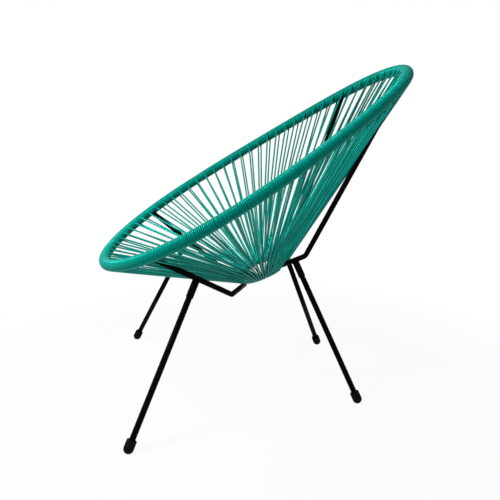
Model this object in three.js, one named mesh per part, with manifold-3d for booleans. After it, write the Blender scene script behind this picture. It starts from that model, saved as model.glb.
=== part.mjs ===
import * as THREE from "three";
import { mergeVertices } from "three/addons/utils/BufferGeometryUtils.js";
import Module from "manifold-3d";

// Acapulco chair: a pear-shaped hoop wound with cord, cords strung from it to a small centre ring,
// and a frame of four bent supports with a leg set in a socket under each.
// Millimetres. X runs across the chair, -Y is the front, +Z is up and the floor is at Z = 0.

// Driving dimensions of the hoop, which leans back from a low front tip to a high back
const hoopTubeRadius = 9.5;
const hoopReach = 372.3;
const hoopFrontHeight = 354.3;
const hoopBackHeight = 807.5;
const hoopHalfWidth = 325;
const hoopFrontWidening = 79;
const hoopEndFilling = 32.5;
const hoopBackFilling = 44;
const hoopSag = 6.9;

// Driving dimensions of the cord and of how it is strung
const cordDiameter = 4;
const stationCount = 75;
const stationsPerCord = 3;
const frontGapDegrees = 21.5;
const frontGapStationCount = 5;
const backGapDegrees = 20;
const backGapStationCount = 27;

// Driving dimensions of the centre ring
const ringRodRadius = 6;
const ringRadius = 64;
const ringCentreBack = 25;
const ringCentreHeight = 308;
const ringTiltDegrees = 23;

// Driving dimensions of the supports, given for the +X side
const supportRodRadius = 6.5;
const frontSupportStationCount = 9.65;
const frontElbowAcross = 127;
const frontElbowAheadOfRing = 94;
const frontElbowBelowRing = 27;
const frontElbowRadius = 14;
const frontRingDegrees = -63.5;
const backSupportStationCount = 30.8;
const backElbowAcross = 80;
const backElbowBehindRing = 98;
const backElbowAboveRing = 49;
const backElbowRadius = 20;
const backRingDegrees = 41.5;

// Driving dimensions of the legs, sockets and foot caps
const legRodRadius = 7;
const frontJointFromElbow = 128;
const backJointFromElbow = 30;
const frontFootAcross = 315;
const frontFootForward = 318;
const backFootAcross = 185;
const backFootBack = 238;
const socketRadius = 8.5;
const socketReach = 46;
const socketBoreStart = 10;
const capRadius = 11.5;
const capSleeveLength = 20;
const capShoulderRadius = 3;
const capFlatDepth = 2;

// Fits
const contactGap = 0.3;
const cutMargin = 2;
const cutStationCount = 2;

// Smoothness of the round forms
const hoopSides = 8;
const cordSides = 6;
const rodSides = 10;
const ringSteps = 40;
const capSides = 12;
const wrapCorners = 3;
const elbowSteps = 5;
const capArcSteps = 4;
const hoopLengthSamples = 1500;
const tangentStep = 1e-4;

// Sizes that follow from the driving dimensions
const cordRadius = cordDiameter / 2;
const woundRadius = hoopTubeRadius + cordDiameter;
const strandHoopRadius = hoopTubeRadius + cordRadius;
const strandRingRadius = ringRodRadius + contactGap + cordRadius;
const strandEntryRadius = woundRadius * Math.cos(Math.PI / hoopSides) - cordRadius - contactGap;
const hoopRise = hoopBackHeight - hoopFrontHeight;
const hoopSlope = Math.atan2(hoopRise, hoopReach * 2);
const hoopNormal = new THREE.Vector3(0, -Math.sin(hoopSlope), Math.cos(hoopSlope));
const ringTilt = THREE.MathUtils.degToRad(ringTiltDegrees);
const ringNormal = new THREE.Vector3(0, -Math.sin(ringTilt), Math.cos(ringTilt));
const ringCentre = new THREE.Vector3(0, ringCentreBack, ringCentreHeight);
const cordCount = stationCount / stationsPerCord;

// Materials
const frameMaterial = new THREE.MeshStandardMaterial({ color: 0x17181a, roughness: 0.5, metalness: 0.4 });
const cordMaterial = new THREE.MeshStandardMaterial({ color: 0x00a58c, roughness: 0.35, metalness: 0 });
const capMaterial = new THREE.MeshStandardMaterial({ color: 0x1b1c1e, roughness: 0.8, metalness: 0 });

const chair = new THREE.Group();

// Adds one named piece to the chair.
function addPiece(name, geometry, material) {
  const mesh = new THREE.Mesh(geometry, material);
  mesh.name = name;
  chair.add(mesh);
  return mesh;
}

// Turns a closed geometry into a solid that can be cut and joined.
const wasm = await Module();
wasm.setup();
function toSolid(geometry) {
  const bare = geometry.clone();
  bare.deleteAttribute("normal");
  bare.deleteAttribute("uv");
  const merged = mergeVertices(bare);
  return new wasm.Manifold(new wasm.Mesh({
    numProp: 3,
    vertProperties: new Float32Array(merged.attributes.position.array),
    triVerts: new Uint32Array(merged.index.array),
  }));
}

// Turns a solid back into a geometry.
function toGeometry(solid) {
  const mesh = solid.getMesh();
  const geometry = new THREE.BufferGeometry();
  geometry.setAttribute("position", new THREE.BufferAttribute(new Float32Array(mesh.vertProperties), 3));
  geometry.setIndex(new THREE.BufferAttribute(new Uint32Array(mesh.triVerts), 1));
  geometry.computeVertexNormals();
  return geometry;
}

// Joins a row of rings of points into a closed skin, capped at its ends unless it closes on itself.
function skinRings(rings, closes) {
  const sides = rings[0].length;
  const points = rings.flat();
  const triangles = [];
  const spans = closes ? rings.length : rings.length - 1;
  for (let row = 0; row < spans; row += 1) {
    const here = row * sides;
    const there = ((row + 1) % rings.length) * sides;
    for (let side = 0; side < sides; side += 1) {
      const next = (side + 1) % sides;
      triangles.push(here + side, there + side, here + next);
      triangles.push(here + next, there + side, there + next);
    }
  }
  if (!closes) {
    const last = (rings.length - 1) * sides;
    for (let side = 1; side < sides - 1; side += 1) {
      triangles.push(0, side, side + 1);
      triangles.push(last, last + side + 1, last + side);
    }
  }
  const geometry = new THREE.BufferGeometry().setFromPoints(points);
  geometry.setIndex(triangles);
  geometry.computeVertexNormals();
  return geometry;
}

// A regular ring of points around a centre. It starts on the first direction and turns to the second.
function ringOfPoints(centre, first, second, radius, sides) {
  const points = [];
  for (let side = 0; side < sides; side += 1) {
    const turn = (side / sides) * Math.PI * 2;
    const point = centre.clone();
    point.addScaledVector(first, Math.cos(turn) * radius);
    point.addScaledVector(second, Math.sin(turn) * radius);
    points.push(point);
  }
  return points;
}

// The hoop's centreline: pear-shaped seen square on, leaning back and sagging a little at mid-length.
function hoopPoint(turnShare) {
  const turn = turnShare * Math.PI * 2;
  const along = -Math.cos(turn);
  const fullness = hoopHalfWidth - hoopFrontWidening * along
    + hoopEndFilling * along ** 2 + hoopBackFilling * along ** 3;
  const sag = hoopSag * (1 - along ** 2);
  const middleHeight = (hoopFrontHeight + hoopBackHeight) / 2;
  const point = new THREE.Vector3(
    Math.sin(turn) * fullness,
    hoopReach * along,
    middleHeight + (hoopRise / 2) * along,
  );
  return point.addScaledVector(hoopNormal, -sag);
}

class HoopLine extends THREE.Curve {
  constructor() {
    super();
    this.arcLengthDivisions = hoopLengthSamples;
  }

  getPoint(turnShare, target = new THREE.Vector3()) {
    return target.copy(hoopPoint(turnShare));
  }
}
const hoopLine = new HoopLine();

// The hoop's cross-section at a station, counted along its length from the front tip.
function hoopSection(station) {
  const share = station / stationCount;
  const turnShare = hoopLine.getUtoTmapping(share - Math.floor(share));
  const centre = hoopPoint(turnShare);
  const tangent = hoopPoint(turnShare + tangentStep).sub(hoopPoint(turnShare - tangentStep)).normalize();
  const outward = tangent.clone().cross(hoopNormal).normalize();
  const up = outward.clone().cross(tangent);
  return { centre, tangent, outward, up };
}

// A stretch of tube on the hoop's centreline between two stations, with rings half way between stations.
// Its ends can be drawn out straight, for a stretch that cuts right through another.
function hoopStretch(fromStation, toStation, radius, drawnOut = 0) {
  const stations = [fromStation];
  for (let middle = Math.floor(fromStation + 1) + 0.5; middle < toStation; middle += 1) {
    if (middle - fromStation > 0.5) {
      stations.push(middle);
    }
  }
  stations.push(toStation);
  const rings = stations.map((station) => {
    const section = hoopSection(station);
    return ringOfPoints(section.centre, section.outward, section.up, radius, hoopSides);
  });
  if (drawnOut > 0) {
    const startTangent = hoopSection(fromStation).tangent;
    const endTangent = hoopSection(toStation).tangent;
    rings.unshift(rings[0].map((point) => point.clone().addScaledVector(startTangent, -drawnOut)));
    rings.push(rings.at(-1).map((point) => point.clone().addScaledVector(endTangent, drawnOut)));
  }
  return skinRings(rings, false);
}

// The whole hoop tube
function hoopTube() {
  const rings = [];
  for (let station = 0; station < stationCount; station += 1) {
    const section = hoopSection(station + 0.5);
    rings.push(ringOfPoints(section.centre, section.outward, section.up, hoopTubeRadius, hoopSides));
  }
  return skinRings(rings, true);
}

// The centre ring, as a torus of a chosen rod radius
function ringTorus(rodRadius) {
  const torus = new THREE.TorusGeometry(ringRadius, rodRadius, rodSides, ringSteps);
  torus.rotateX(ringTilt);
  torus.translate(ringCentre.x, ringCentre.y, ringCentre.z);
  return torus;
}

// The outward direction of the centre ring at an angle from +X
function ringOutward(angle) {
  return new THREE.Vector3(
    Math.cos(angle),
    Math.sin(angle) * Math.cos(ringTilt),
    Math.sin(angle) * Math.sin(ringTilt),
  );
}

// The point of the ring's centreline at an angle from +X
function ringPoint(angle) {
  return ringCentre.clone().addScaledVector(ringOutward(angle), ringRadius);
}

// The ring angle that a station's strands go to. They stand closer together than the hoop's stations,
// and leave a wider gap where each support comes up to the ring.
function strandRingAngle(station) {
  const onLeft = station <= stationCount / 2;
  const steps = onLeft ? station : stationCount - station;
  const plainSteps = stationCount / 2 - 2;
  const pitchDegrees = (180 - frontGapDegrees - backGapDegrees) / plainSteps;
  let degrees = steps * pitchDegrees - 90;
  if (steps > frontGapStationCount) {
    degrees += frontGapDegrees - pitchDegrees;
  }
  if (steps > backGapStationCount) {
    degrees += backGapDegrees - pitchDegrees;
  }
  return THREE.MathUtils.degToRad(onLeft ? degrees : 180 - degrees);
}

// Where a strand starts inside the winding on the hoop. Side is 1 for the upper strand, -1 for the lower.
function strandEntry(station, target, side) {
  const section = hoopSection(station);
  const reach = target.clone().sub(section.centre);
  const outwardPart = reach.dot(section.outward);
  const upPart = reach.dot(section.up);
  const distance = Math.hypot(outwardPart, upPart);
  const toTarget = Math.atan2(upPart, outwardPart);
  const offTarget = Math.acos(strandHoopRadius / distance);
  const angle = toTarget - side * offTarget - (toTarget < 0 ? -Math.PI * 2 : 0);
  const entry = section.centre.clone();
  entry.addScaledVector(section.outward, Math.cos(angle) * strandEntryRadius);
  entry.addScaledVector(section.up, Math.sin(angle) * strandEntryRadius);
  return entry;
}

// The corner points of a strand pair: in from the hoop over the ring, round its inside and back under it.
function strandRoute(station) {
  const angle = strandRingAngle(station);
  const outward = ringOutward(angle);
  const centre = ringPoint(angle);
  const above = centre.clone().addScaledVector(ringNormal, strandRingRadius);
  const below = centre.clone().addScaledVector(ringNormal, -strandRingRadius);
  const upperEntry = strandEntry(station, above, 1);
  const lowerEntry = strandEntry(station, below, -1);
  const touchAngle = (entry, side) => {
    const reach = entry.clone().sub(centre);
    const outwardPart = reach.dot(outward);
    const upPart = reach.dot(ringNormal);
    const distance = Math.hypot(outwardPart, upPart);
    return Math.atan2(upPart, outwardPart) + side * Math.acos(strandRingRadius / distance);
  };
  const firstAngle = touchAngle(upperEntry, 1);
  const lastAngle = touchAngle(lowerEntry, -1) + Math.PI * 2;
  const cornerTurn = (lastAngle - firstAngle) / wrapCorners;
  const cornerRadius = strandRingRadius / Math.cos(cornerTurn / 2);
  const route = [upperEntry];
  for (let corner = 0; corner < wrapCorners; corner += 1) {
    const cornerAngle = firstAngle + cornerTurn * (corner + 0.5);
    const point = centre.clone();
    point.addScaledVector(outward, Math.cos(cornerAngle) * cornerRadius);
    point.addScaledVector(ringNormal, Math.sin(cornerAngle) * cornerRadius);
    route.push(point);
  }
  route.push(lowerEntry);
  return { route, sideways: outward.clone().cross(ringNormal) };
}

// A cord along a route of straight stretches, with mitred corners and its flats facing sideways
function strandSkin({ route, sideways }) {
  const rings = route.map((point, index) => {
    const before = route[Math.max(index - 1, 0)];
    const after = route[Math.min(index + 1, route.length - 1)];
    const arriving = point.clone().sub(before).normalize();
    const leaving = after.clone().sub(point).normalize();
    const direction = arriving.clone().add(leaving).normalize();
    const isEnd = index === 0 || index === route.length - 1;
    const mitre = isEnd ? 1 : 1 / arriving.dot(direction);
    const across = sideways.clone().addScaledVector(direction, -sideways.dot(direction)).normalize();
    const lift = direction.clone().cross(across).multiplyScalar(mitre);
    return ringOfPoints(point, lift, across, cordRadius, cordSides);
  });
  return skinRings(rings, false);
}

// A rod bent once, from a start point past an elbow to an end point
function bentRod(start, elbow, end, bendRadius, rodRadius) {
  const arriving = elbow.clone().sub(start).normalize();
  const leaving = end.clone().sub(elbow).normalize();
  const bend = Math.acos(arriving.dot(leaving));
  const axis = arriving.clone().cross(leaving).normalize();
  const inward = axis.clone().cross(arriving);
  const bendStart = elbow.clone().addScaledVector(arriving, -bendRadius * Math.tan(bend / 2));
  const bendCentre = bendStart.clone().addScaledVector(inward, bendRadius);
  const rings = [ringOfPoints(start, inward, axis, rodRadius, rodSides)];
  for (let step = 0; step <= elbowSteps; step += 1) {
    const turn = (bend * step) / elbowSteps;
    const towards = inward.clone().applyAxisAngle(axis, turn);
    const point = bendCentre.clone().addScaledVector(towards, -bendRadius);
    rings.push(ringOfPoints(point, towards, axis, rodRadius, rodSides));
  }
  const endInward = inward.clone().applyAxisAngle(axis, bend);
  rings.push(ringOfPoints(end, endInward, axis, rodRadius, rodSides));
  return skinRings(rings.reverse(), false);
}

// A straight round bar between two points
function roundBar(start, end, radius) {
  const length = start.distanceTo(end);
  const bar = new THREE.CylinderGeometry(radius, radius, length, rodSides);
  const direction = end.clone().sub(start).normalize();
  bar.applyQuaternion(new THREE.Quaternion().setFromUnitVectors(new THREE.Vector3(0, 1, 0), direction));
  const middle = start.clone().add(end).multiplyScalar(0.5);
  bar.translate(middle.x, middle.y, middle.z);
  return bar;
}

// A point of the +X side of the chair, or its mirror image on the -X side
function onSide(side, across, back, height) {
  return new THREE.Vector3(side * across, back, height);
}

// The hoop and the ring
const hoopSolid = toSolid(hoopTube());
const grownRing = toSolid(ringTorus(ringRodRadius + contactGap));
addPiece("seat_hoop", toGeometry(hoopSolid), frameMaterial);
addPiece("centre_ring", ringTorus(ringRodRadius), frameMaterial);

// The four corners of the frame, each a support, a socket, a leg and a foot cap
const corners = [];
for (const side of [1, -1]) {
  const hand = side === 1 ? "left" : "right";
  corners.push({
    name: `front_${hand}`,
    side,
    hoopStation: side * frontSupportStationCount,
    elbow: onSide(
      side,
      frontElbowAcross,
      ringCentreBack - frontElbowAheadOfRing,
      ringCentreHeight - frontElbowBelowRing,
    ),
    elbowRadius: frontElbowRadius,
    ringDegrees: side === 1 ? frontRingDegrees : 180 - frontRingDegrees,
    ringDrop: ringRodRadius + contactGap + supportRodRadius,
    ringShortfall: 0,
    jointFromElbow: frontJointFromElbow,
    jointOnUpperStretch: true,
    footCentre: onSide(side, frontFootAcross, -frontFootForward, capRadius - capFlatDepth),
  });
  corners.push({
    name: `back_${hand}`,
    side,
    hoopStation: side * backSupportStationCount,
    elbow: onSide(
      side,
      backElbowAcross,
      ringCentreBack + backElbowBehindRing,
      ringCentreHeight + backElbowAboveRing,
    ),
    elbowRadius: backElbowRadius,
    ringDegrees: side === 1 ? backRingDegrees : 180 - backRingDegrees,
    ringDrop: 0,
    ringShortfall: ringRodRadius / 2,
    jointFromElbow: backJointFromElbow,
    jointOnUpperStretch: false,
    footCentre: onSide(side, backFootAcross, backFootBack, capRadius - capFlatDepth),
  });
}

// Where a support ends: just inside the ring's rod at the back, and under the rod at the front
function supportEnd(corner) {
  const end = ringPoint(THREE.MathUtils.degToRad(corner.ringDegrees));
  end.addScaledVector(ringNormal, -corner.ringDrop);
  const outward = corner.elbow.clone().sub(end).normalize();
  return end.addScaledVector(outward, corner.ringShortfall);
}

// The support rod of a corner, from the hoop to the ring, in a chosen rod radius
function supportRod(corner, rodRadius) {
  const start = hoopSection(corner.hoopStation).centre;
  return toSolid(bentRod(start, corner.elbow, supportEnd(corner), corner.elbowRadius, rodRadius));
}

// The point of a support's centreline where the leg's socket is welded on
function socketJoint(corner) {
  const towards = corner.jointOnUpperStretch
    ? hoopSection(corner.hoopStation).centre
    : supportEnd(corner);
  const direction = towards.sub(corner.elbow).normalize();
  return corner.elbow.clone().addScaledVector(direction, corner.jointFromElbow);
}

// A soft cap with a domed end and a rounded shoulder, open at its top for the leg
function footCap(corner, direction) {
  const boreRadius = legRodRadius + contactGap;
  const profile = [new THREE.Vector2(0, -capRadius)];
  for (let step = 1; step <= capArcSteps; step += 1) {
    const turn = (Math.PI / 2) * (step / capArcSteps);
    profile.push(new THREE.Vector2(Math.sin(turn) * capRadius, -Math.cos(turn) * capRadius));
  }
  for (let step = 0; step <= capArcSteps / 2; step += 1) {
    const turn = (Math.PI / 2) * (step / (capArcSteps / 2));
    profile.push(new THREE.Vector2(
      capRadius - capShoulderRadius * (1 - Math.cos(turn)),
      capSleeveLength - capShoulderRadius * (1 - Math.sin(turn)),
    ));
  }
  profile.push(new THREE.Vector2(boreRadius, capSleeveLength));
  profile.push(new THREE.Vector2(boreRadius, 0));
  profile.push(new THREE.Vector2(0, 0));
  const cap = new THREE.LatheGeometry(profile, capSides);
  cap.applyQuaternion(new THREE.Quaternion().setFromUnitVectors(new THREE.Vector3(0, 1, 0), direction));
  cap.translate(corner.footCentre.x, corner.footCentre.y, corner.footCentre.z);
  const floor = new THREE.BoxGeometry(capRadius * 4, capRadius * 4, capRadius);
  floor.translate(corner.footCentre.x, corner.footCentre.y, -capRadius / 2);
  return toGeometry(toSolid(cap).subtract(toSolid(floor)));
}

const grownSupports = [];
for (const corner of corners) {
  const grownSupport = supportRod(corner, supportRodRadius + contactGap);
  const hoopCutter = toSolid(hoopStretch(
    corner.hoopStation - cutStationCount,
    corner.hoopStation + cutStationCount,
    hoopTubeRadius + contactGap,
  ));
  const support = supportRod(corner, supportRodRadius).subtract(hoopCutter).subtract(grownRing);
  grownSupports.push(grownSupport);
  addPiece(`support_${corner.name}`, toGeometry(support), frameMaterial);

  const joint = socketJoint(corner);
  const upward = joint.clone().sub(corner.footCentre).normalize();
  const downLeg = (distance) => joint.clone().addScaledVector(upward, -distance);
  const socketEnd = downLeg(socketReach);
  const bore = toSolid(roundBar(
    downLeg(socketBoreStart),
    downLeg(socketReach + cutMargin),
    legRodRadius + contactGap,
  ));
  const socket = toSolid(roundBar(joint, socketEnd, socketRadius)).subtract(bore).subtract(grownSupport);
  addPiece(`leg_socket_${corner.name}`, toGeometry(socket), frameMaterial);

  const legTop = downLeg(socketBoreStart + contactGap);
  const legFoot = corner.footCentre.clone().addScaledVector(upward, contactGap);
  addPiece(`leg_${corner.name}`, roundBar(legTop, legFoot, legRodRadius), frameMaterial);
  addPiece(`foot_cap_${corner.name}`, footCap(corner, upward), capMaterial);
}

// The seat cords. Each piece is a stretch of the cord wound round the hoop, drawn as a plain sleeve,
// with the strands that leave it for the ring and come back.
const stationLength = hoopLine.getLength() / stationCount;
const endGapStations = contactGap / 2 / stationLength;
const cutInsetStations = contactGap * 2 / stationLength;
for (let cord = 0; cord < cordCount; cord += 1) {
  const middle = cord * stationsPerCord;
  const first = middle - stationsPerCord / 2;
  const last = middle + stationsPerCord / 2;
  const sleeveStart = first + endGapStations;
  const sleeveEnd = last - endGapStations;
  let solid = toSolid(hoopStretch(sleeveStart, sleeveEnd, woundRadius));
  for (let offset = 0; offset < stationsPerCord; offset += 1) {
    const station = (first + 0.5 + offset + stationCount) % stationCount;
    solid = solid.add(toSolid(strandSkin(strandRoute(station))));
  }
  solid = solid.subtract(toSolid(hoopStretch(
    sleeveStart + cutInsetStations,
    sleeveEnd - cutInsetStations,
    hoopTubeRadius + contactGap,
    cutMargin,
  )));
  for (const support of grownSupports) {
    solid = solid.subtract(support);
  }
  addPiece(`seat_cord_${String(cord + 1).padStart(2, "0")}`, toGeometry(solid), cordMaterial);
}

export default chair;
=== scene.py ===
# %% [markdown]
# # An acapulco chair
# The chair is a hoop of steel tube wound from end to end with plastic cord. The same cord is strung
# from the hoop to a small ring under the sitter, and that web is the whole seat. Bent rods carry the
# hoop and the ring, and straight legs stand in sockets under them.
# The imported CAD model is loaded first. It fixes every size and place, so each piece made here is
# laid exactly where its plainer solid is.

# %% Load the frame
import math

import bpy
import numpy as np
from mathutils import Matrix, Vector


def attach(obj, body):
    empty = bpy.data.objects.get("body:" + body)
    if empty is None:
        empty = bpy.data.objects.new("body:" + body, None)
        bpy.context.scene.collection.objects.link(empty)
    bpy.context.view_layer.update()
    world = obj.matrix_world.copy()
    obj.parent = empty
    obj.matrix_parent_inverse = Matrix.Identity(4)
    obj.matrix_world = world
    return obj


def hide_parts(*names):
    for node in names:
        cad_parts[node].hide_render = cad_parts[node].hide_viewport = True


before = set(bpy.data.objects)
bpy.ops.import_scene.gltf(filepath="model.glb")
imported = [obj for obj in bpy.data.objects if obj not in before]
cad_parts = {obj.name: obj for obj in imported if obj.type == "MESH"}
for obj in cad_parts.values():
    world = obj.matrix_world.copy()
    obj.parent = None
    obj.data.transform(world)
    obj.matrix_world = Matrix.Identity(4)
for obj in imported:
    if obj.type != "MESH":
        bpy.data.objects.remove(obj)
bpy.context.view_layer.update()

print("CAD nodes:", len(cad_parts))

# %% [markdown]
# ## The camera
# The chair was photographed from its left side, from a little in front and above, at about the
# distance of someone standing beside it. A camera has no special direction in Blender: its own X is
# the picture's right, its Y is the picture's up, and it looks along its -Z. Those three directions
# are worked out from one turn and one tilt, and they become the columns of its matrix.

# %% Camera
camera_place = Vector((1.41512, -0.23520, 0.71365))
camera_turn = math.radians(9.018)
camera_tilt = math.radians(14.066)
sensor_width = 36.0
focal_share = 1.13464
frame_shift = (0.00484, 0.00244)

looking = Vector((
    -math.cos(camera_turn) * math.cos(camera_tilt),
    math.sin(camera_turn) * math.cos(camera_tilt),
    -math.sin(camera_tilt),
))
rightwards = Vector((math.sin(camera_turn), math.cos(camera_turn), 0))
upwards = rightwards.cross(looking)

camera_data = bpy.data.cameras.new("camera")
camera_data.sensor_width = sensor_width
camera_data.lens = focal_share * sensor_width
camera_data.shift_x, camera_data.shift_y = frame_shift
camera = bpy.data.objects.new("camera", camera_data)
camera_axes = Matrix((rightwards, upwards, -looking)).transposed()
camera.matrix_world = Matrix.Translation(camera_place) @ camera_axes.to_4x4()
bpy.context.scene.collection.objects.link(camera)
bpy.context.scene.camera = camera
print("lens in millimetres:", round(camera_data.lens, 2))

# %% [markdown]
# ## Writing shaders as sums
# A finish is a small piece of arithmetic: a noise times a strength, added to a plain value. In
# Blender each step of it is a node, and laying nodes one by one hides the sum. So a Value stands for
# the output of a node, and +, -, * and / on it add the Math nodes.

# %% Values
class Value:
    """A number that changes over a surface. Arithmetic on it adds Math nodes to its finish."""

    def __init__(self, finish, socket):
        self.finish = finish
        self.socket = socket

    def __add__(self, other):
        return self.finish.maths("ADD", self, other)

    def __sub__(self, other):
        return self.finish.maths("SUBTRACT", self, other)

    def __rsub__(self, other):
        return self.finish.maths("SUBTRACT", other, self)

    def __mul__(self, other):
        return self.finish.maths("MULTIPLY", self, other)

    def __truediv__(self, other):
        return self.finish.maths("DIVIDE", self, other)

    def __rtruediv__(self, other):
        return self.finish.maths("DIVIDE", other, self)

    __radd__ = __add__
    __rmul__ = __mul__

# %% [markdown]
# A Finish holds the nodes of one material, or of the world. Everything that isn't such a sum is added
# with its node method, which takes the kind of node, its settings and what goes into it. The methods
# after it only shorten what comes often.

# %% Finishes
class Finish:
    """The nodes of a material or of the world, and short ways to add to them."""

    def __init__(self, owner):
        owner.use_nodes = True
        self.owner = owner
        self.tree = owner.node_tree
        self.tree.nodes.clear()

    def feed(self, socket, value):
        """Links a value into a socket, or sets the socket to a plain number or colour."""
        if isinstance(value, Value):
            self.tree.links.new(value.socket, socket)
        else:
            socket.default_value = value

    def node(self, kind, settings=None, inputs=None, output=0):
        """Adds a node: its settings are set first, then its sockets. Gives one of its outputs."""
        node = self.tree.nodes.new(kind)
        for setting, value in (settings or {}).items():
            if setting == "stops":
                self.set_stops(node.color_ramp, value)
            else:
                setattr(node, setting, value)
        for name, value in (inputs or {}).items():
            self.feed(node.inputs[name], value)
        return Value(self, node.outputs[output]) if node.outputs else None

    def set_stops(self, ramp, stops):
        """Gives a colour ramp its stops, each a place and a colour."""
        while len(ramp.elements) < len(stops):
            ramp.elements.new(1.0)
        for element, (place, shade) in zip(ramp.elements, stops):
            element.position = place
            element.color = shade

    def maths(self, operation, *values):
        """Adds a Math node for one operation on values or numbers."""
        return self.node("ShaderNodeMath", {"operation": operation}, dict(enumerate(values)))

    def mix_colours(self, share, first, second):
        """Goes from the first colour to the second as the share goes from 0 to 1. A Mix node keeps
        its two colours in its sockets 6 and 7, and gives the mixed one from its output 2."""
        inputs = {0: share, 6: first, 7: second}
        return self.node("ShaderNodeMix", {"data_type": "RGBA"}, inputs, output=2)

    def noise(self, place, scale, detail):
        """Soft random patches around 0.5, 1 / scale wide, with finer ones in them by the detail."""
        inputs = {"Vector": place, "Scale": scale, "Detail": detail}
        return self.node("ShaderNodeTexNoise", inputs=inputs)

    def bump(self, height, distance, strength):
        """Shades the surface as if it rose by the distance where the height is 1, without moving it."""
        inputs = {"Height": height, "Distance": distance, "Strength": strength}
        return self.node("ShaderNodeBump", inputs=inputs)

    def surface(self, inputs):
        """Adds the general shader with its inputs, and makes it what the material's surface shows."""
        shader = self.node("ShaderNodeBsdfPrincipled", inputs=inputs)
        self.node("ShaderNodeOutputMaterial", inputs={"Surface": shader})
        print("finish:", self.owner.name, "nodes:", len(self.tree.nodes))

# %% [markdown]
# Colours are picked on a screen, but Blender adds up light. Half of the scale on a screen is only
# about a fifth of the light, so every colour is written as it looks and converted.

# %% Colours
screen_white = 255
dark_limit = 0.04045
dark_divisor = 12.92
curve_shift = 0.055
curve_power = 2.4


def colour(red, green, blue):
    """A colour written as it looks on a screen, 0 to 255, turned into the light that Blender adds up.
    This is the standard curve of screens: dark values are divided, and the others follow a power."""
    written = np.array([red, green, blue]) / screen_white
    curved = ((written + curve_shift) / (1 + curve_shift)) ** curve_power
    light = np.where(written <= dark_limit, written / dark_divisor, curved)
    return (*light.tolist(), 1.0)


print("light of a middle grey:", round(colour(128, 128, 128)[0], 3))

# %% [markdown]
# ## Light and background
# The photograph has an even white background. A white wall would need so much light that the chair
# would bleach, so the background is made white only for what the camera and the reflections see.
# The light that falls on the chair comes from a much dimmer sky of the same white and from two soft
# lamps. The strong one hangs high in front of the chair and draws the bright edge along the top of
# the rim. The weak one stands low, under the camera, and lifts the near side out of the shade.

# %% World and lamps
sky_strength = 0.08
lamp_aim = Vector((0.0, 0.0, 0.40))
lamps = {
    "high_lamp": {"place": Vector((0.30, -1.00, 1.50)), "size": 0.3, "watts": 26.0},
    "side_lamp": {"place": Vector((1.60, -0.10, 0.25)), "size": 0.5, "watts": 2.5},
}
white = (1.0, 1.0, 1.0, 1.0)


def seen_directly(finish):
    """1 where the camera, a reflection or a clear body sees the surface, and 0 where it only lights
    others: the largest of the marks of those three kinds of ray."""
    names = ("Is Camera Ray", "Is Glossy Ray", "Is Transmission Ray")
    rays = [finish.node("ShaderNodeLightPath", output=name) for name in names]
    return finish.maths("MAXIMUM", rays[0], finish.maths("MAXIMUM", rays[1], rays[2]))


world = bpy.data.worlds.new("studio")
bpy.context.scene.world = world
studio = Finish(world)
sky = sky_strength + seen_directly(studio) * (1.0 - sky_strength)
sky_light = studio.node("ShaderNodeBackground", inputs={"Color": white, "Strength": sky})
studio.node("ShaderNodeOutputWorld", inputs={"Surface": sky_light})

for name, choices in lamps.items():
    lamp_data = bpy.data.lights.new(name, "AREA")
    lamp_data.shape = "DISK"
    lamp_data.size = choices["size"]
    lamp_data.energy = choices["watts"]
    lamp = bpy.data.objects.new(name, lamp_data)
    lamp.location = choices["place"]
    lamp.rotation_euler = (choices["place"] - lamp_aim).to_track_quat("Z", "Y").to_euler()
    lamp.visible_camera = False
    bpy.context.scene.collection.objects.link(lamp)

bpy.context.scene.view_settings.view_transform = "Standard"
print("lamps:", list(lamps), "sky strength:", sky_strength)

# %% [markdown]
# ## The floor
# The photograph shows no floor at all, only white. A plain glowing floor would give that and lose the
# chair's shadow, without which it would seem to hang. So the floor shows mostly white, but under the
# chair a small share of it stays a real pale floor with a shadow on it. Farther out it turns wholly
# white, which hides its end.

# %% Floor
floor_half_size = 30.0
floor_white_share = 0.95
floor_shadow_reach = 0.55
floor_white_reach = 1.0
floor_colour = colour(225, 225, 225)

floor_mesh = bpy.data.meshes.new("floor")
floor_corners = [
    (x * floor_half_size, y * floor_half_size, 0)
    for x, y in ((-1, -1), (1, -1), (1, 1), (-1, 1))
]
floor_mesh.from_pydata(floor_corners, [], [(0, 1, 2, 3)])
floor = bpy.data.objects.new("floor", floor_mesh)
bpy.context.scene.collection.objects.link(floor)

floor_paint = Finish(bpy.data.materials.new("floor_paint"))
matt = floor_paint.node("ShaderNodeBsdfDiffuse", inputs={"Color": floor_colour})
glow = floor_paint.node("ShaderNodeEmission", inputs={"Color": white, "Strength": 1.0})
floor_place = floor_paint.node("ShaderNodeTexCoord", output="Object")
measure = {"operation": "LENGTH"}
distance = floor_paint.node("ShaderNodeVectorMath", measure, {0: floor_place}, output="Value")
whitening = floor_paint.node("ShaderNodeMapRange", {"interpolation_type": "SMOOTHSTEP"}, {
    "Value": distance,
    "From Min": floor_shadow_reach,
    "From Max": floor_white_reach,
    "To Min": floor_white_share,
    "To Max": 1.0,
})
glow_share = seen_directly(floor_paint) * whitening
floor_look = floor_paint.node("ShaderNodeMixShader", inputs={0: glow_share, 1: matt, 2: glow})
floor_paint.node("ShaderNodeOutputMaterial", inputs={"Surface": floor_look})
floor_mesh.materials.append(floor_paint.owner)
print("floor turns white within metres:", floor_white_reach)

# %% [markdown]
# ## One helper for every tube
# Hoop, rods, ring, sockets and every turn of cord are the same kind of thing: a round section
# carried along a line. Blender's own curves can have a round bevel. But here some tubes end in a
# saddle, some close on themselves and some change their thickness, and worked-out rows of points can
# do all of that. So one function joins such rows into a skin.
# The UV map runs once around the tube from 0 to 1, and along it in metres, so a pattern keeps its
# real size on a long piece and on a short one.

# %% Lengths and directions
full_turn = 2 * np.pi


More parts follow.
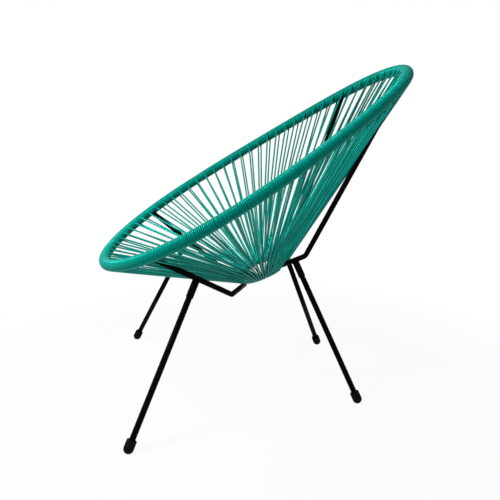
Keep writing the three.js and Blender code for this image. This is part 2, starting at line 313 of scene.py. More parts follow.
def unit(vectors):
    """Each vector divided by its own length."""
    return vectors / np.linalg.norm(vectors, axis=-1, keepdims=True)


def dot(first, second):
    """The sum of the products of two vectors' parts, for each pair in two arrays."""
    return np.sum(first * second, axis=-1)


def even_turns(count):
    """Angles from 0 that divide a full turn evenly."""
    return np.arange(count) / count * full_turn


def path_lengths(points):
    """How far along a line each of its points lies: the running sum of the steps' lengths."""
    steps = np.linalg.norm(np.diff(points, axis=0), axis=-1)
    return np.concatenate([[0.0], np.cumsum(steps)])


print("a full turn in radians:", round(full_turn, 4))

# %% Faces of a skin
def side_faces(index, along, closed):
    """Point s of row r makes a four-sided face with point s + 1 and with the same two of row r + 1.
    Gives the faces' corners and their UV places: s / sides, and how far along row r lies."""
    here = index if closed else index[:-1]
    there = np.roll(index, -1, axis=0) if closed else index[1:]
    faces = np.stack([here, np.roll(here, -1, 1), np.roll(there, -1, 1), there], axis=-1)

    spans, sides = here.shape
    around = np.arange(sides + 1) / sides
    face_map = np.empty((spans, sides, 4, 2))
    face_map[..., (0, 3), 0] = around[None, :-1, None]
    face_map[..., (1, 2), 0] = around[None, 1:, None]
    face_map[..., (0, 1), 1] = along[:spans, None, None]
    face_map[..., (2, 3), 1] = along[1:spans + 1, None, None]
    return faces.reshape(-1, 4), face_map.reshape(-1, 2)


def end_fans(index, along):
    """Each step round the first and the last row makes a three-sided face with a middle point. The
    two middle points are numbered after all others. Gives the faces' corners and UV places too."""
    sides = index.shape[1]
    first, last = index[0], index[-1]
    fan_start = np.stack([np.full(sides, index.size), np.roll(first, -1), first], axis=-1)
    fan_end = np.stack([np.full(sides, index.size + 1), last, np.roll(last, -1)], axis=-1)

    around = np.arange(sides + 1) / sides
    fan_around = np.stack([around[:-1], around[1:], around[:-1]], axis=-1)
    fan_along = np.repeat([along[0], along[-1]], sides)[:, None].repeat(3, axis=1)
    fan_map = np.stack([np.tile(fan_around, (2, 1)), fan_along], axis=-1)
    return np.concatenate([fan_start, fan_end]), fan_map.reshape(-1, 2)

# %% Skins
def skin(name, rings, closed=False):
    """Joins rings of points, shaped (rows, sides, 3), into one closed mesh. A closed skin joins its
    last row to its first. An open one ends in flat fans, which aren't shaded smooth."""
    index = np.arange(rings.shape[0] * rings.shape[1]).reshape(rings.shape[:2])
    middles = rings.mean(axis=1)
    along = path_lengths(np.concatenate([middles, middles[:1]]) if closed else middles)
    points = rings.reshape(-1, 3)
    faces, corner_map = side_faces(index, along, closed)
    corners = faces.reshape(-1)
    starts = np.arange(len(faces)) * 4
    if not closed:
        points = np.concatenate([points, middles[:1], middles[-1:]])
        fans, fan_map = end_fans(index, along)
        starts = np.concatenate([starts, len(corners) + np.arange(len(fans)) * 3])
        corners = np.concatenate([corners, fans.reshape(-1)])
        corner_map = np.concatenate([corner_map, fan_map])

    mesh = bpy.data.meshes.new(name)
    mesh.vertices.add(len(points))
    mesh.vertices.foreach_set("co", points.astype(np.float32).ravel())
    mesh.loops.add(len(corners))
    mesh.loops.foreach_set("vertex_index", corners.astype(np.int32))
    mesh.polygons.add(len(starts))
    mesh.polygons.foreach_set("loop_start", starts.astype(np.int32))
    mesh.polygons.foreach_set("use_smooth", np.arange(len(starts)) < len(faces))
    uv_map = mesh.uv_layers.new(name="UVMap")
    uv_map.data.foreach_set("uv", corner_map.astype(np.float32).ravel())
    mesh.update(calc_edges=True)
    mesh.validate()
    piece = bpy.data.objects.new(name, mesh)
    bpy.context.scene.collection.objects.link(piece)
    return piece

# %% [markdown]
# A second function lays the rows round a line. They turn with the line by a direction that is given
# for each point, which keeps the skin from twisting.

# %% Tubes
def round_rings(line, facing, radius, sides, tangents=None):
    """Circles of points round a line: middle + radius * (cos turn * facing + sin turn * sideways).
    Facing is made square to the line first, and sideways is the line's direction crossed with it."""
    if tangents is None:
        tangents = np.gradient(line, path_lengths(line), axis=0)
    tangents = unit(tangents)
    facing = unit(facing - dot(facing, tangents)[..., None] * tangents)
    sideways = np.cross(tangents, facing)
    turn = even_turns(sides)
    radius = np.broadcast_to(radius, line.shape[:1])[:, None, None]
    circle = np.cos(turn)[:, None] * facing[:, None] + np.sin(turn)[:, None] * sideways[:, None]
    return line[:, None] + radius * circle

# %% [markdown]
# ## The hoop's line
# Seen square on, the hoop is a pear: broad towards the low front, narrower towards the high back. A
# circle becomes that outline when its width is multiplied by a sum that changes from front to back.
# The hoop also leans back and sags a little at mid-length. It could be drawn by hand as a curve, but a
# formula keeps both halves alike and gives any place on the hoop, which the cord needs.
# Seventy-five stations divide its length evenly. At each one the cord leaves the hoop for the ring.

# %% Hoop line
hoop_tube_radius = 0.0095
hoop_reach = 0.3723
hoop_front_height = 0.3543
hoop_back_height = 0.8075
hoop_half_width = 0.325
hoop_front_widening = 0.079
hoop_end_filling = 0.0325
hoop_back_filling = 0.044
hoop_sag = 0.0069
station_count = 75
hoop_length_samples = 1500
turn_step = 1e-4

hoop_rise = hoop_back_height - hoop_front_height
hoop_slope = math.atan2(hoop_rise, hoop_reach * 2)
hoop_normal = np.array([0, -math.sin(hoop_slope), math.cos(hoop_slope)])


def hoop_points(turn):
    """The hoop's centreline. Along = -cos turn runs from -1 at the front to 1 at the back, the width
    is sin turn times a cubic in along, and the sag is largest where along is 0."""
    along = -np.cos(turn)
    width = hoop_half_width - hoop_front_widening * along
    width = width + hoop_end_filling * along ** 2 + hoop_back_filling * along ** 3
    height = (hoop_front_height + hoop_back_height) / 2 + hoop_rise / 2 * along
    points = np.stack([np.sin(turn) * width, hoop_reach * along, height], axis=-1)
    return points - (hoop_sag * (1 - along ** 2))[..., None] * hoop_normal


table_turns = np.linspace(0, full_turn, hoop_length_samples + 1)
table_lengths = path_lengths(hoop_points(table_turns))
hoop_length = table_lengths[-1]


def hoop_sections(stations):
    """Centre, direction, outward and upward of the hoop at stations, which divide its length evenly.
    The turn is read off a table of lengths, and the direction is taken between two close points."""
    share = np.asarray(stations, dtype=float) / station_count % 1
    turn = np.interp(share * hoop_length, table_lengths, table_turns)
    tangent = unit(hoop_points(turn + turn_step) - hoop_points(turn - turn_step))
    outward = unit(np.cross(tangent, hoop_normal))
    return hoop_points(turn), tangent, outward, np.cross(outward, tangent)


print("hoop length in metres:", round(hoop_length, 3))

# %% [markdown]
# ## The centre ring
# A small ring of rod lies under the sitter, tilted back like the seat. All strands go round it. They
# stand closer together there than on the hoop, and leave a wider gap where each rod of the frame
# comes up to the ring. Every place on it is an angle, so that strands and rods can share the ring
# without meeting.

# %% Ring line
ring_rod_radius = 0.006
ring_radius = 0.064
ring_centre = np.array([0, 0.025, 0.308])
ring_tilt = math.radians(23)
ring_normal = np.array([0, -math.sin(ring_tilt), math.cos(ring_tilt)])
front_gap_degrees = 21.5
front_gap_station_count = 5
back_gap_degrees = 20
back_gap_station_count = 27


def ring_sections(angles):
    """Centre and outward direction of the ring at angles from +X: ring centre + radius * outward, and
    outward is (cos angle, sin angle * cos tilt, sin angle * sin tilt)."""
    angles = np.asarray(angles, dtype=float)
    outward = np.stack([
        np.cos(angles),
        np.sin(angles) * math.cos(ring_tilt),
        np.sin(angles) * math.sin(ring_tilt),
    ], axis=-1)
    return ring_centre + ring_radius * outward, outward


def strand_ring_angles(stations):
    """Equal steps round half the ring from the front, plus a wider gap after the two gap stations.
    The other half is its mirror image."""
    on_left = stations <= station_count / 2
    steps = np.where(on_left, stations, station_count - stations)
    pitch = (180 - front_gap_degrees - back_gap_degrees) / (station_count / 2 - 2)
    degrees = steps * pitch - 90
    degrees += np.where(steps > front_gap_station_count, front_gap_degrees - pitch, 0)
    degrees += np.where(steps > back_gap_station_count, back_gap_degrees - pitch, 0)
    return np.radians(np.where(on_left, degrees, 180 - degrees))


print("ring hole in metres:", round(2 * (ring_radius - ring_rod_radius), 3))

# %% [markdown]
# ## The way of the cord
# The seat is one cord, pulled tight by hand. It winds round the hoop eight times, comes over the top,
# runs down to the ring, goes round the ring's inside, comes back underneath and goes on winding. A
# pattern painted on a plain tube would not show the turns at the hoop's edge, nor how each strand
# slides out from between two turns, so the cord is modelled turn by turn.
# On the hoop its line is a helix.

# %% Winding line
cord_radius = 0.00195
turns_per_station = 8
closing_power = 3
wind_wander = 0.00012
wander_waves_per_station = (13 / 3, 19 / 5)
wind_radius = hoop_tube_radius + cord_radius
phase_per_station = full_turn * turns_per_station


def wind_line(stations):
    """The helix round the hoop: centre + radius * (cos phase * outward + sin phase * up), where the
    phase is half a turn at every whole and half station. Gives its points and their outward directions.
    Where a strand is away at the ring, the other turns close up: on the side that faces the ring, by
    the cube of the cosine of the angle off it, they spread evenly over one place more. Two slow waves
    let the turns wander a little along the hoop, and both come round evenly after a whole lap."""
    centre, _, outward, up = hoop_sections(stations)
    to_ring = ring_centre - centre
    inward = np.arctan2(dot(to_ring, up), dot(to_ring, outward)) % full_turn
    phase = np.pi + phase_per_station * stations
    since_strand = (stations - (inward - np.pi) / phase_per_station) % 1
    facing_ring = np.maximum(0, np.cos(phase - inward)) ** closing_power
    closing = facing_ring * (since_strand - 1 / 2) / (turns_per_station - 1)
    wander = sum(np.sin(stations * full_turn * waves) for waves in wander_waves_per_station)
    shifted = stations + closing + wander * wind_wander / hoop_length * station_count
    centre, _, outward, up = hoop_sections(shifted)
    phase = phase[..., None]
    radial = np.cos(phase) * outward + np.sin(phase) * up
    return centre + wind_radius * radial, radial


def wind_direction(stations):
    """The direction of the helix, from two points of it close together."""
    before = wind_line(stations - turn_step)[0]
    after = wind_line(stations + turn_step)[0]
    return unit(after - before)


print("turns of cord on the hoop:", station_count * turns_per_station)

# %% [markdown]
# A strand has to leave the helix and touch the ring in the right directions, and a straight line
# would meet both with a kink. So it is a straight line plus one short curve at each end that dies
# away with distance. Its points crowd at the ends, where it bends.

# %% Strand line
ease_length = 0.0045
strand_steps = 24
strand_crowding = 2.4
crowded = np.tanh(strand_crowding * np.linspace(-1, 1, strand_steps)) / np.tanh(strand_crowding)
strand_shares = (crowded + 1) / 2


def strand_lines(start, start_direction, end, end_direction, bow):
    """Start and end are joined by a straight line, less two shares that shrink by e over each ease
    length, which turn it into the given directions at its ends. A bow adds half a sine of slack."""
    span = np.linalg.norm(end - start, axis=-1, keepdims=True)
    straight = (end - start) / span
    start_ease = ease_length * (start_direction - straight)
    end_ease = ease_length * (straight - end_direction)
    first = start + start_ease
    last = end + end_ease
    share = strand_shares[None, :, None]
    distance = share * span[:, None]
    line = first[:, None] + (last - first)[:, None] * share
    line -= start_ease[:, None] * np.exp(-distance / ease_length)
    line -= end_ease[:, None] * np.exp((distance - span[:, None]) / ease_length)
    return line + np.sin(np.pi * share) * bow[:, None]


print("first points of a strand, as shares:", np.round(strand_shares[:4], 4))

# %% [markdown]
# ## From the hoop to the ring and back
# Each strand leaves the hoop where the helix points at the ring, and returns where it meets the line
# from the ring. Both places follow from the right triangle between the hoop's centre, the ring and
# the touching point. The same triangle on the ring's side says where the cord starts and stops
# bending round the ring. All seventy-five trips are worked out at once.

# %% Leaving and returning
wrap_lift = 0.0004
ring_contact = 0.00005
ring_wind_radius = ring_rod_radius + cord_radius + ring_contact


def touch_angle(centre, first, second, radius, point, side):
    """The angle on a circle where a tangent from a point touches it: the point's own angle, plus or
    minus the angle whose cosine is the radius over the point's distance."""
    reach = point - centre
    across = dot(reach, first)
    above = dot(reach, second)
    own_angle = np.arctan2(above, across)
    return own_angle + side * np.arccos(radius / np.hypot(across, above))


stations = np.arange(station_count)
hoop_centres, hoop_tangents, hoop_outwards, hoop_ups = hoop_sections(stations)
ring_angles = strand_ring_angles(stations)
ring_centres, ring_outwards = ring_sections(ring_angles)
ring_sideways = np.cross(ring_outwards, ring_normal)
wrap_radii = ring_wind_radius + wrap_lift * (stations % 2)

to_ring_top = ring_normal * wrap_radii[:, None]
hoop_frame = (hoop_centres, hoop_outwards, hoop_ups)
leave_phase = touch_angle(*hoop_frame, wind_radius, ring_centres + to_ring_top, -1) % full_turn
return_phase = touch_angle(*hoop_frame, wind_radius, ring_centres - to_ring_top, 1) % full_turn
leave_stations = stations + (leave_phase - np.pi) / phase_per_station
return_stations = stations + (return_phase - np.pi) / phase_per_station
leave_points, leave_radials = wind_line(leave_stations)
return_points, return_radials = wind_line(return_stations)
print("first leaving angle in degrees:", round(math.degrees(leave_phase[0]), 1))

# %% [markdown]
# On the ring each cord bends round the rod's inside. Neighbours lie crowded there, so every second
# one is lifted a little over the others, and each moves a little sideways on its way round.

# %% Bends round the ring
wrap_steps = 12
wrap_shift = 0.0006

ring_frame = (ring_centres, ring_outwards, ring_normal)
wrap_start = touch_angle(*ring_frame, wrap_radii, leave_points, 1)
wrap_end = touch_angle(*ring_frame, wrap_radii, return_points, -1) + full_turn
wrap_share = np.linspace(0, 1, wrap_steps)[None, :, None]
wrap_angle = wrap_start[:, None, None] + (wrap_end - wrap_start)[:, None, None] * wrap_share
wrap_radials = np.cos(wrap_angle) * ring_outwards[:, None] + np.sin(wrap_angle) * ring_normal
wrap_lines = ring_centres[:, None] + wrap_radii[:, None, None] * wrap_radials
wrap_lines += ring_sideways[:, None] * wrap_shift * (2 * wrap_share - 1)


def ring_direction(angle):
    """The direction in which the cord runs round the ring's rod at an angle of its section:
    cos angle * the ring's normal - sin angle * outward."""
    return unit(np.cos(angle)[:, None] * ring_normal - np.sin(angle)[:, None] * ring_outwards)


wrap_metres = sum(path_lengths(line)[-1] for line in wrap_lines)
print("cord round the ring in metres:", round(wrap_metres, 2))

# %% [markdown]
# Now the strands can be laid from the hoop to the ring and back. Perfectly straight ones look like
# wire. Real ones are pulled tight by hand, so each gets a small bow of its own.

# %% Strands
strand_slack = 0.0009
upward_slack_share = 1 / 3
chance = np.random.default_rng(11)


def slack():
    """A small seeded bow for each strand, because no two are pulled equally tight: one random number
    times the slack along the hoop, and another times a smaller share of it upwards."""
    drift = chance.normal(size=(station_count, 2)) * strand_slack
    return drift[:, :1] * hoop_tangents + drift[:, 1:] * hoop_ups * upward_slack_share


hoop_starts = (leave_points, wind_direction(leave_stations))
hoop_ends = (return_points, wind_direction(return_stations))
wrap_starts = (wrap_lines[:, 0], ring_direction(wrap_start))
wrap_ends = (wrap_lines[:, -1], ring_direction(wrap_end))
down_lines = strand_lines(*hoop_starts, *wrap_starts, slack())
back_lines = strand_lines(*wrap_ends, *hoop_ends, slack())
strand_metres = sum(path_lengths(line)[-1] for line in (*down_lines, *back_lines))
print("strand length in metres:", round(strand_metres, 1))

# %% [markdown]
# ## Twenty-five stretches of cord
# One cord of about a hundred metres would be one mesh of four hundred thousand triangles. It is cut
# into twenty-five stretches instead, each with the strands of three stations, as the CAD model's
# pieces are. They meet on the hoop's inner side, a millimetre apart, where such gaps hardly show.
# The photograph's free strands look a little thicker than its turns, so the soft cord is taken to be
# squeezed where it is wound and in the ring's hole. It swells over a small share of a strand.

# %% Stretches
wind_steps_per_turn = 20
fewest_wind_steps = 4
squeezed_radius = 0.00192
free_radius = 0.00225
swell_share = 0.12


def wind_stretch(first, last):
    """The part of the helix between two stations, with its outward directions and radii."""
    turns = (last - first) * turns_per_station
    steps = max(fewest_wind_steps, math.ceil(turns * wind_steps_per_turn))
    line, radial = wind_line(np.linspace(first, last, steps))
    return line, radial, np.full(len(line), cord_radius)


def excursion(station):
    """The cord's trip from the hoop over the ring, round its inside and back, with facing directions
    that turn evenly from the hoop's outward direction to the ring's."""
    share = np.linspace(0, 1, strand_steps)[:, None]
    down_facing = leave_radials[station] * (1 - share) + wrap_radials[station, 0] * share
    back_facing = wrap_radials[station, -1] * (1 - share) + return_radials[station] * share
    line = [down_lines[station], wrap_lines[station, 1:-1], back_lines[station]]
    facing = [down_facing, wrap_radials[station, 1:-1], back_facing]
    places = [0, swell_share, 1 - swell_share, 1]
    place_radii = [cord_radius, free_radius, free_radius, squeezed_radius]
    down_radii = np.interp(strand_shares, places, place_radii)
    radii = [down_radii, np.full(wrap_steps - 2, squeezed_radius), down_radii[::-1]]
    return np.concatenate(line), np.concatenate(facing), np.concatenate(radii)


print("points on one trip to the ring and back:", len(excursion(0)[0]))

# %% Cord pieces
stations_per_cord = 3
stations_aside = stations_per_cord // 2
cord_count = station_count // stations_per_cord
cord_sides = 12
end_gap_stations = 0.001


def cord_piece(number):
    """Winding and trips in turn, joined into one line and skinned."""
    middle = number * stations_per_cord
    reached = middle - stations_per_cord / 2 + end_gap_stations
    stretches = []
    for station in range(middle - stations_aside, middle + stations_aside + 1):
        lap = station - station % station_count
        station = station % station_count
        stretches.append([part[:-1] for part in wind_stretch(reached, leave_stations[station] + lap)])
        stretches.append([part[:-1] for part in excursion(station)])
        reached = return_stations[station] + lap
    stretches.append(wind_stretch(reached, middle + stations_per_cord / 2 - end_gap_stations))
    line, facing, radii = (np.concatenate(parts) for parts in zip(*stretches))
    rings = round_rings(line, facing, radii, cord_sides)
    return skin(f"wound_cord_{number + 1:02d}", rings), path_lengths(line)[-1]


cords = []
cord_metres = 0
for number in range(cord_count):
    piece, metres = cord_piece(number)
    cords.append((piece, [f"seat_cord_{number + 1:02d}"]))
    cord_metres += metres
print("cord pieces:", len(cords), "cord in metres:", round(cord_metres, 1))

# %% [markdown]
# ## The steel under the cord
# Hoop and ring are bent and butt-welded into endless loops. Little of them shows: the hoop not at
# all, the ring only in the gaps where the rods come up to it. Blender has a ready torus that would do
# for the ring, but cord and welds have to meet the steel, so both are tubes laid on the same lines.

# %% Steel hoop and ring
hoop_rows = 300
hoop_sides = 24
ring_rows = 160
ring_sides = 32

hoop_stations = np.arange(hoop_rows) / hoop_rows * station_count
hoop_middles, hoop_directions, hoop_out = hoop_sections(hoop_stations)[:3]
hoop_rings = round_rings(hoop_middles, hoop_out, hoop_tube_radius, hoop_sides, hoop_directions)
hoop_piece = skin("bent_hoop", hoop_rings, closed=True)

ring_middles, ring_out = ring_sections(even_turns(ring_rows))
ring_directions = np.cross(ring_normal, ring_out)
ring_rings = round_rings(ring_middles, ring_out, ring_rod_radius, ring_sides, ring_directions)
ring_piece = skin("bent_ring", ring_rings, closed=True)
steel = [(hoop_piece, ["seat_hoop"]), (ring_piece, ["centre_ring"])]
print("steel pieces so far:", len(steel))

# %% [markdown]
# ## The four bent supports
# Each support is one rod, bent once. Its upper end is welded to the hoop and its lower end to the
# ring. One smooth curve would swell on both sides of the bend, and a rod bent in a machine doesn't. Its
# bend is part of a circle, so the line is a straight, an arc and a straight. The two at the front end
# under the ring, and the two at the back end against its side.

# %% Bent rods
bend_steps = 14
rod_end_rounding = 0.0012
rod_middle_share = 0.5


def bent_rod_line(start, elbow, end, bend_radius):
    """Straight from the start, an arc of the bend radius that touches both straights, and straight to
    the end. The arc's points are its centre less the radius times a direction that turns. A point just
    short of the end lets its edge be rounded."""
    arriving = unit(elbow - start)
    leaving = unit(end - elbow)
    bend = math.acos(dot(arriving, leaving))
    axis = unit(np.cross(arriving, leaving))
    inward = np.cross(axis, arriving)
    bend_centre = elbow - arriving * bend_radius * math.tan(bend / 2) + inward * bend_radius
    turn = np.linspace(0, bend, bend_steps)[:, None]
    arc = bend_centre - bend_radius * (np.cos(turn) * inward - np.sin(turn) * arriving)
    last_straight = end - arc[-1]
    rounding_share = rod_end_rounding / np.linalg.norm(last_straight)
    shares = np.array([rod_middle_share, 1 - rounding_share, 1])[:, None]
    line = np.concatenate([[start], arc, arc[-1] + last_straight * shares])
    return line, np.broadcast_to(axis, line.shape)


print("points on a bend:", bend_steps)

# %% Supports
support_radius = 0.0065
rod_sides = 32
support_kinds = {
    "front": {
        "hoop_station": 9.65,
        "elbow_from_ring": (0.127, -0.094, -0.027),
        "elbow_radius": 0.014,
        "ring_degrees": -63.5,
        "ring_drop": ring_rod_radius + support_radius,
    },
    "back": {
        "hoop_station": 30.8,
        "elbow_from_ring": (0.080, 0.098, 0.049),
        "elbow_radius": 0.020,
        "ring_degrees": 41.5,
        "ring_drop": 0.0,
    },
}

supports = {}
for side, hand in ((1, "left"), (-1, "right")):
    flip = np.array([side, 1, 1])
    for place, kind in support_kinds.items():
        start = hoop_sections(side * kind["hoop_station"])[0]
        elbow = flip * (ring_centre + kind["elbow_from_ring"])
        ring_place = ring_sections(math.radians(kind["ring_degrees"]))[0]
        end = flip * (ring_place - ring_normal * kind["ring_drop"])
        line, facing = bent_rod_line(start, elbow, end, kind["elbow_radius"])
        radii = np.full(len(line), support_radius)
        radii[-1] = support_radius - rod_end_rounding
        name = f"{place}_{hand}"
        piece = skin(f"bent_support_{name}", round_rings(line, facing, radii, rod_sides))
        steel.append((piece, [f"support_{name}"]))
        supports[name] = dict(place=place, flip=flip, start=start, elbow=elbow, end=end)
        print(piece.name, "length in metres:", round(path_lengths(line)[-1], 3))

# %% [markdown]
# ## Saddles and welds
# Where one tube is welded to the side of another, its end is cut to a saddle that hugs the round rod.
# A Boolean cut would leave slivers along that edge. So the saddle is worked out for each point of the
# tube's rim: how far down the tube's own axis the rod's surface lies.
# A bead of weld runs round the saddle. It is a thin closed tube whose thickness ripples, as the
# drops of a real weld do.

# %% Saddles and weld beads
weld_radius = 0.0013
weld_ripples = 19
weld_ripple_share = 0.16
weld_sides = 10
weld_rows = 96
weld_smoothing_passes = 4


def saddle(joint, axis, rod_direction, tube_radius, rod_radius, count):
    """Points of a tube's rim where it meets a round rod. For each turn round the tube the drop is
    (root of rod radius squared less the point's distance beside the rod squared, less the point's own
    part away from the rod) over the axis's part away from the rod."""
    turns = even_turns(count)
    beside = unit(np.cross(axis, rod_direction))
    facing = np.cross(beside, axis)
    away = unit(axis - dot(axis, rod_direction) * rod_direction)
    rim = np.cos(turns)[:, None] * facing + np.sin(turns)[:, None] * np.cross(axis, facing)
    sideways = tube_radius * dot(rim, beside)
    depth = np.sqrt(np.maximum(rod_radius ** 2 - sideways ** 2, 0))
    drop = (depth - tube_radius * dot(rim, away)) / dot(axis, away)
    return joint + tube_radius * rim + drop[:, None] * axis, rim


def add_weld_bead(name, *meeting):
    """A thin closed tube along a saddle's edge, its radius times 1 plus a share of a sine. The edge is
    smoothed first: each point moves halfway to the middle of its neighbours, a few times over."""
    line, facing = saddle(*meeting, weld_rows)
    for _ in range(weld_smoothing_passes):
        line = line / 2 + (np.roll(line, 1, axis=0) + np.roll(line, -1, axis=0)) / 4
    ripple = np.sin(even_turns(weld_rows) * weld_ripples)
    radii = weld_radius * (1 + weld_ripple_share * ripple)
    tangents = np.roll(line, -1, axis=0) - np.roll(line, 1, axis=0)
    piece = skin(name, round_rings(line, facing, radii, weld_sides, tangents), closed=True)
    steel.append((piece, []))


print("ripples on a weld bead:", weld_ripples)

# %% [markdown]
# ## The sockets
# The legs come off for packing. A short socket of tube is welded under each support, and the leg is
# pushed up into it. A front socket sits between its rod's bend and the hoop, and a back one between
# the bend and the ring. Each points from there to its foot on the floor, so moving a foot turns its
# socket and its leg along with it.

# %% Leg places
cap_radius = 0.0115
cap_flat_depth = 0.002
leg_kinds = {
    "front": {"foot": (0.315, -0.318), "rod_end": "start", "from_elbow": 0.128},
    "back": {"foot": (0.185, 0.238), "rod_end": "end", "from_elbow": 0.030},
}

for name, support in supports.items():
    kind = leg_kinds[support["place"]]
    rod_direction = unit(support[kind["rod_end"]] - support["elbow"])
    joint = support["elbow"] + rod_direction * kind["from_elbow"]
    foot_centre = support["flip"] * (*kind["foot"], cap_radius - cap_flat_depth)
    axis = unit(foot_centre - joint)
    support.update(joint=joint, axis=axis, foot_centre=foot_centre, rod_direction=rod_direction)
    print(name, "socket at height in metres:", round(joint[2], 3))

# %% Sockets
socket_radius = 0.0085
socket_reach = 0.046
socket_rim = 0.0007
socket_bore_radius = 0.00715
socket_bore_depth = 0.006
socket_sink = 0.0004
socket_row_shares = (0.0, 0.5, 1.0)
sunk_radius = support_radius - socket_sink

for name, support in supports.items():
    axis = support["axis"]
    meeting = (support["joint"], axis, support["rod_direction"], socket_radius)
    top, rim = saddle(*meeting, sunk_radius, rod_sides)
    mouth = support["joint"] + axis * socket_reach
    edge = mouth - axis * socket_rim + socket_radius * rim
    outside = [top * (1 - share) + edge * share for share in socket_row_shares]
    lip = mouth + (socket_radius - socket_rim) * rim
    bore_edge = mouth + socket_bore_radius * rim
    inside = [lip, bore_edge, bore_edge - axis * socket_bore_depth]
    piece = skin(f"saddle_socket_{name}", np.stack(outside + inside))
    steel.append((piece, [f"leg_socket_{name}"]))
    add_weld_bead(f"socket_weld_{name}", *meeting, support_radius)
print("sockets:", len(supports))

# %% [markdown]
# ## Legs and foot caps
# The legs are straight rods. Their upper ends sit in the sockets and their lower ends in soft caps.
# A cap is turned round the leg's axis: a dome to stand on, a sleeve and a rounded shoulder. Blender's
# Screw modifier can turn a profile as well. But the leg leans and the soft cap is pressed flat on a
# level floor, so its rings of points are worked out and those below the floor are lifted up to it.

# %% Cap profile
cap_sleeve_length = 0.020
cap_shoulder_radius = 0.003
cap_bore_radius = 0.0071
cap_groove_depth = 0.0004
cap_groove_height = 0.0150
cap_groove_width = 0.0007
cap_groove_side_shares = np.array([-1, -0.5, 0.5, 1])
cap_groove_depth_shares = np.array([0, 1, 1, 0])
cap_bore_end_share = 0.5
cap_dome_start_share = 0.02
cap_dome_steps = 14
cap_shoulder_steps = 7


def cap_profile():
    """Radius and height pairs from the foot up: a quarter circle, a straight side with one shallow
    groove, a quarter circle in at the shoulder, and down again beside the leg."""
    dome = np.linspace(cap_dome_start_share, 1, cap_dome_steps) * np.pi / 2
    shoulder = np.linspace(0, 1, cap_shoulder_steps) * np.pi / 2
    radius = np.concatenate([
        cap_radius * np.sin(dome),
        cap_radius - cap_groove_depth * cap_groove_depth_shares,
        cap_radius - cap_shoulder_radius * (1 - np.cos(shoulder)),
        [cap_bore_radius, cap_bore_radius],
    ])
    height = np.concatenate([
        -cap_radius * np.cos(dome),
        cap_groove_height + cap_groove_width * cap_groove_side_shares,
        cap_sleeve_length - cap_shoulder_radius * (1 - np.sin(shoulder)),
        [cap_sleeve_length, cap_sleeve_length * cap_bore_end_share],
    ])
    return radius, height


cap_radii, cap_heights = cap_profile()
print("points on the cap's profile:", len(cap_radii))

# %% Legs and foot caps
leg_radius = 0.007
leg_top_from_joint = 0.0103
leg_foot_gap = 0.0003
cap_sides = 48

caps = []
for name, support in supports.items():
    axis, joint, foot_centre = support["axis"], support["joint"], support["foot_centre"]
    ends = np.stack([joint + axis * leg_top_from_joint, foot_centre - axis * leg_foot_gap])
    beside = np.broadcast_to(np.cross(axis, support["rod_direction"]), ends.shape)
    piece = skin(f"straight_leg_{name}", round_rings(ends, beside, leg_radius, rod_sides))
    steel.append((piece, [f"leg_{name}"]))
    print(piece.name, "length in metres:", round(path_lengths(ends)[-1], 3))

    line = foot_centre - cap_heights[:, None] * axis
    upward = np.broadcast_to(-axis, line.shape)
    facing = np.cross(upward, support["rod_direction"])
    rings = round_rings(line, facing, cap_radii, cap_sides, upward)
    rings[..., 2] = np.maximum(rings[..., 2], 0)
    piece = skin(f"soft_cap_{name}", rings)
    caps.append((piece, [f"foot_cap_{name}"]))
print("foot caps:", len(caps))

# %% [markdown]
# ## The ends of the supports at the ring
# A bead of weld closes each back support's end against the ring's side, with a saddle like the one
# of a socket. The front supports end under the ring, between the cords, where no bead can be seen.

# %% Ring welds
left_degrees = support_kinds["back"]["ring_degrees"]
for name, degrees in (("back_left", left_degrees), ("back_right", 180 - left_degrees)):
    support = supports[name]
    direction = unit(support["elbow"] - support["end"])
    point, outward = ring_sections(math.radians(degrees))
    meeting = (point, direction, np.cross(ring_normal, outward), support_radius, ring_rod_radius)
    add_weld_bead(f"ring_weld_{name}", *meeting)
print("steel pieces:", len(steel))

# %% [markdown]
# ## The cord's finish
# The cord is solid soft plastic, pressed out hot through a round hole. That leaves it glossy, with
# very fine lines along its length, and its colour drifts a little on the way. Dust settles in it and
# handling dulls it in patches, so the gloss varies slowly too.
# A strong clear gloss would mirror the white surroundings and wash the colour out, so it is kept weak.
# A small metallic share beside it gives a sheen in the cord's own colour, as the photograph shows.
# The lines follow the cord, so they read the piece's own UV map.

# %% Cord finish
cord_deep_colour = colour(0, 136, 121)
cord_pale_colour = colour(0, 161, 146)
cord_roughness = 0.24
cord_shine = 0.08
cord_sheen_share = 0.12
cord_sheen_tint = colour(50, 255, 245)
cord_roughness_change = 0.12
noise_middle = 0.5
drift_scale = 3.0
drift_scale_around = 0.02
drift_detail = 2.0
patch_scale = 45.0
patch_detail = 3.0
patch_share = 0.5
line_count = 26.0
line_detail = 2.0
line_bump = 0.00003
line_strength = 0.5

cord_paint = Finish(bpy.data.materials.new("teal_cord"))
cord_map = cord_paint.node("ShaderNodeTexCoord", output="UV")
cord_place = cord_paint.node("ShaderNodeTexCoord", output="Object")
drift_at = cord_paint.node("ShaderNodeMapping", inputs={
    "Vector": cord_map,
    "Scale": (drift_scale_around, drift_scale, 1.0),
})
drift = cord_paint.noise(drift_at, 1.0, drift_detail)
patch = cord_paint.noise(cord_place, patch_scale, patch_detail)
lines_at = cord_paint.node("ShaderNodeMapping", inputs={
    "Vector": cord_map,
    "Scale": (line_count, drift_scale, 1.0),
})
lines = cord_paint.noise(lines_at, 1.0, line_detail)
tone = drift + (patch - noise_middle) * patch_share
cord_shade = cord_paint.mix_colours(tone, cord_deep_colour, cord_pale_colour)
cord_gloss = cord_roughness + (patch - noise_middle) * cord_roughness_change
cord_bump = cord_paint.bump(lines, line_bump, line_strength)
cord_paint.surface({
    "Base Color": cord_shade,
    "Roughness": cord_gloss,
    "Normal": cord_bump,
    "Specular IOR Level": cord_shine,
    "Specular Tint": cord_sheen_tint,
    "Metallic": cord_sheen_share,
})

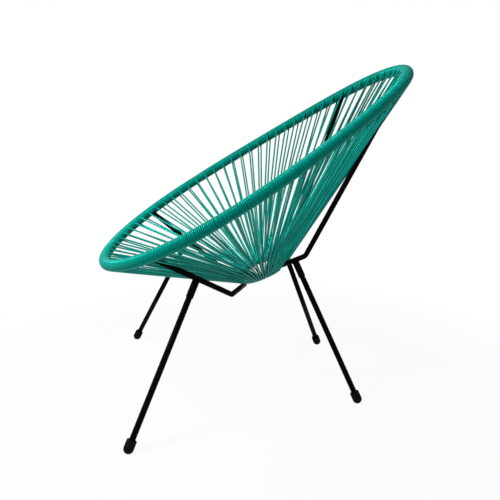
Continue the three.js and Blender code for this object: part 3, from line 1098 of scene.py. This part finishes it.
# %% [markdown]
# ## The frame's finish
# The steel is powder coated: a dry paint that is baked on and flows together. It is nearly black,
# has little gloss, and has the skin of an orange: soft bumps a millimetre or two across. Here and
# there the coat is duller where it has been rubbed. A painted picture would show its edges and its
# repeats on long rods. Noise has neither, and it reads Object coordinates, so it runs on from piece
# to piece.

# %% Coat finish
coat_colour = colour(4, 4, 5)
coat_rubbed_colour = colour(12, 12, 13)
coat_roughness = 0.40
coat_shine = 0.02
peel_scale = 620.0
peel_detail = 1.0
peel_bump = 0.00012
peel_strength = 0.6
rub_scale = 28.0
rub_detail = 4.0
rub_start = 0.52
rub_full = 0.72
rub_share = 0.6
rub_roughness = 0.12
grain_scale = 2600.0
grain_detail = 0.0
grain_share = 0.2
grain_roughness = 0.1
black = (0.0, 0.0, 0.0, 1.0)

coat_paint = Finish(bpy.data.materials.new("black_coat"))
coat_place = coat_paint.node("ShaderNodeTexCoord", output="Object")
peel = coat_paint.noise(coat_place, peel_scale, peel_detail)
rub = coat_paint.noise(coat_place, rub_scale, rub_detail)
grain = coat_paint.noise(coat_place, grain_scale, grain_detail)
rub_stops = [(rub_start, black), (rub_full, white)]
rubbed = coat_paint.node("ShaderNodeValToRGB", {"stops": rub_stops}, {"Fac": rub})
wear = rubbed * rub_share + grain * grain_share
coat_shade = coat_paint.mix_colours(wear, coat_colour, coat_rubbed_colour)
coat_gloss = coat_roughness + rubbed * rub_roughness + (grain - noise_middle) * grain_roughness
coat_bump = coat_paint.bump(peel, peel_bump, peel_strength)
coat_paint.surface({
    "Base Color": coat_shade,
    "Roughness": coat_gloss,
    "Normal": coat_bump,
    "Specular IOR Level": coat_shine,
})

# %% [markdown]
# ## The caps' finish
# The caps are moulded from soft black plastic. They are duller than the coat, have a fine grain, and
# grey dust clings to them near the floor, so their colour follows the height above it.

# %% Cap finish
cap_colour = colour(5, 5, 6)
cap_dust_colour = colour(40, 39, 37)
cap_roughness = 0.62
cap_shine = 0.06
cap_grain_scale = 1400.0
cap_grain_detail = 2.0
cap_grain_bump = 0.00008
cap_grain_strength = 0.6
cap_grain_roughness = 0.2
dust_height = 0.006
dust_scale = 160.0
dust_detail = 3.0

cap_paint = Finish(bpy.data.materials.new("soft_black"))
cap_place = cap_paint.node("ShaderNodeTexCoord", output="Object")
cap_height = cap_paint.node("ShaderNodeSeparateXYZ", inputs={"Vector": cap_place}, output="Z")
cap_grain = cap_paint.noise(cap_place, cap_grain_scale, cap_grain_detail)
dust = cap_paint.noise(cap_place, dust_scale, dust_detail)
low = cap_paint.maths("MAXIMUM", 1 - cap_height / dust_height, 0.0)
cap_shade = cap_paint.mix_colours(low * dust, cap_colour, cap_dust_colour)
cap_gloss = cap_roughness + (cap_grain - noise_middle) * cap_grain_roughness
cap_bump = cap_paint.bump(cap_grain, cap_grain_bump, cap_grain_strength)
cap_paint.surface({
    "Base Color": cap_shade,
    "Roughness": cap_gloss,
    "Normal": cap_bump,
    "Specular IOR Level": cap_shine,
})

# %% [markdown]
# ## Dressing the pieces
# Every piece now gets its finish, and where it stands for a plain solid of the CAD model, that solid
# is hidden. Nothing on this chair moves, so all of them ride on its one body.

# %% Dress
for pieces, finish, slot in (
    (cords, cord_paint, "cord"),
    (steel, coat_paint, "frame"),
    (caps, cap_paint, "foot_cap"),
):
    for piece, nodes in pieces:
        piece.data.materials.append(finish.owner)
        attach(piece, "root")
        if nodes:
            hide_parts(*nodes)
triangles = sum(len(piece.data.polygons) * 2 for piece, nodes in cords + steel + caps)
print("pieces:", len(cords + steel + caps), "triangles, about:", triangles)
